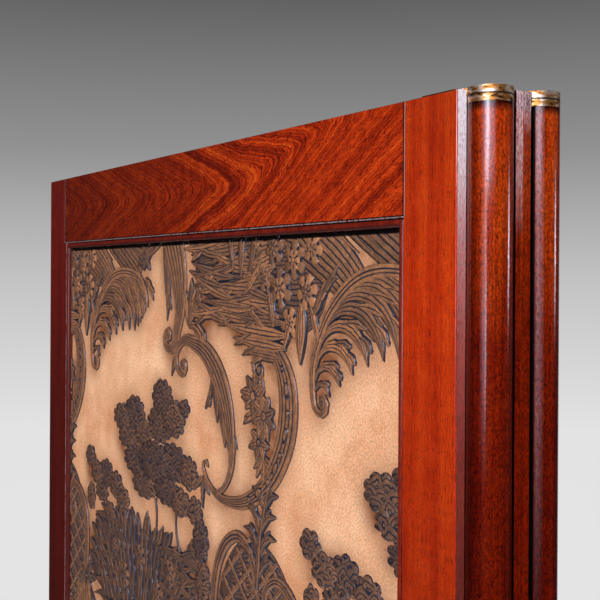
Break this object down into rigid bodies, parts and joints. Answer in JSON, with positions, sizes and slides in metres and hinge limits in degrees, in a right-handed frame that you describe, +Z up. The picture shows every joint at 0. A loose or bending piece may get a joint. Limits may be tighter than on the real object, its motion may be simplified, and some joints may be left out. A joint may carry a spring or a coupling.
{
  "type": "folding screen",
  "caption": "Folding screen: mahogany frames round embossed leather panels, joined by full-height knuckle joints on brass pivots.",
  "frame": {"origin": "middle of the folded stack, on the floor", "axes": "+X across a leaf, +Y through the folded stack from leaf 1 to leaf 4, +Z up; the front of leaf 1 looks towards -Y"},
  "size_m": [0.647, 0.0632, 1.831],
  "materials": {
    "stile_mahogany": "french polished, red-brown, straight grain",
    "rail_mahogany": "french polished, red-brown, flame figure",
    "bead_mahogany": "french polished, dark red-brown, worn crowns",
    "pine_board": "bare planed board",
    "embossed_leather": "embossed and painted, tan ground with brown ornament, satin",
    "cloth_lining": "dull dark red cotton",
    "screw_brass": "aged, slotted",
    "plate_brass": "aged, worn bright with dark tarnish",
    "pin_brass": "aged, smooth"
  },
  "bodies": {
    "leaf_1": {"leaf_1_left_stile": "stile_mahogany", "leaf_1_right_stile": "stile_mahogany", "leaf_1_top_rail": "rail_mahogany", "leaf_1_bottom_rail": "rail_mahogany", "leaf_1_front_beads": "bead_mahogany", "leaf_1_back_beads": "bead_mahogany", "leaf_1_board": "pine_board", "leaf_1_leather": "embossed_leather", "leaf_1_lining": "cloth_lining", "leaf_1_screws": "screw_brass", "hinge_1_top_cove_plate": "plate_brass", "hinge_1_bottom_cove_plate": "plate_brass"},
    "leaf_2": {"leaf_2_left_stile": "stile_mahogany", "leaf_2_right_stile": "stile_mahogany", "leaf_2_top_rail": "rail_mahogany", "leaf_2_bottom_rail": "rail_mahogany", "leaf_2_front_beads": "bead_mahogany", "leaf_2_back_beads": "bead_mahogany", "leaf_2_board": "pine_board", "leaf_2_leather": "embossed_leather", "leaf_2_lining": "cloth_lining", "leaf_2_screws": "screw_brass", "hinge_1_top_nose_plate": "plate_brass", "hinge_1_bottom_nose_plate": "plate_brass", "hinge_1_pins": "pin_brass", "hinge_2_top_cove_plate": "plate_brass", "hinge_2_bottom_cove_plate": "plate_brass"},
    "leaf_3": {"leaf_3_left_stile": "stile_mahogany", "leaf_3_right_stile": "stile_mahogany", "leaf_3_top_rail": "rail_mahogany", "leaf_3_bottom_rail": "rail_mahogany", "leaf_3_front_beads": "bead_mahogany", "leaf_3_back_beads": "bead_mahogany", "leaf_3_board": "pine_board", "leaf_3_leather": "embossed_leather", "leaf_3_lining": "cloth_lining", "leaf_3_screws": "screw_brass", "hinge_2_top_nose_plate": "plate_brass", "hinge_2_bottom_nose_plate": "plate_brass", "hinge_2_pins": "pin_brass", "hinge_3_top_nose_plate": "plate_brass", "hinge_3_bottom_nose_plate": "plate_brass", "hinge_3_pins": "pin_brass"},
    "leaf_4": {"leaf_4_left_stile": "stile_mahogany", "leaf_4_right_stile": "stile_mahogany", "leaf_4_top_rail": "rail_mahogany", "leaf_4_bottom_rail": "rail_mahogany", "leaf_4_front_beads": "bead_mahogany", "leaf_4_back_beads": "bead_mahogany", "leaf_4_board": "pine_board", "leaf_4_leather": "embossed_leather", "leaf_4_lining": "cloth_lining", "leaf_4_screws": "screw_brass", "hinge_3_top_cove_plate": "plate_brass", "hinge_3_bottom_cove_plate": "plate_brass"}
  },
  "joints": [
    {"name": "hinge_1", "type": "hinge", "parent": "leaf_1", "child": "leaf_2", "pos_m": [0.3121, -0.0159, 0.915], "axis": [0, 0, -1], "range_deg": [0, 180]},
    {"name": "hinge_2", "type": "hinge", "parent": "leaf_2", "child": "leaf_3", "pos_m": [-0.3121, 0, 0.915], "axis": [0, 0, 1], "range_deg": [0, 180]},
    {"name": "hinge_3", "type": "hinge", "parent": "leaf_3", "child": "leaf_4", "pos_m": [0.3121, 0.0159, 0.915], "axis": [0, 0, -1], "range_deg": [0, 180]}
  ]
}
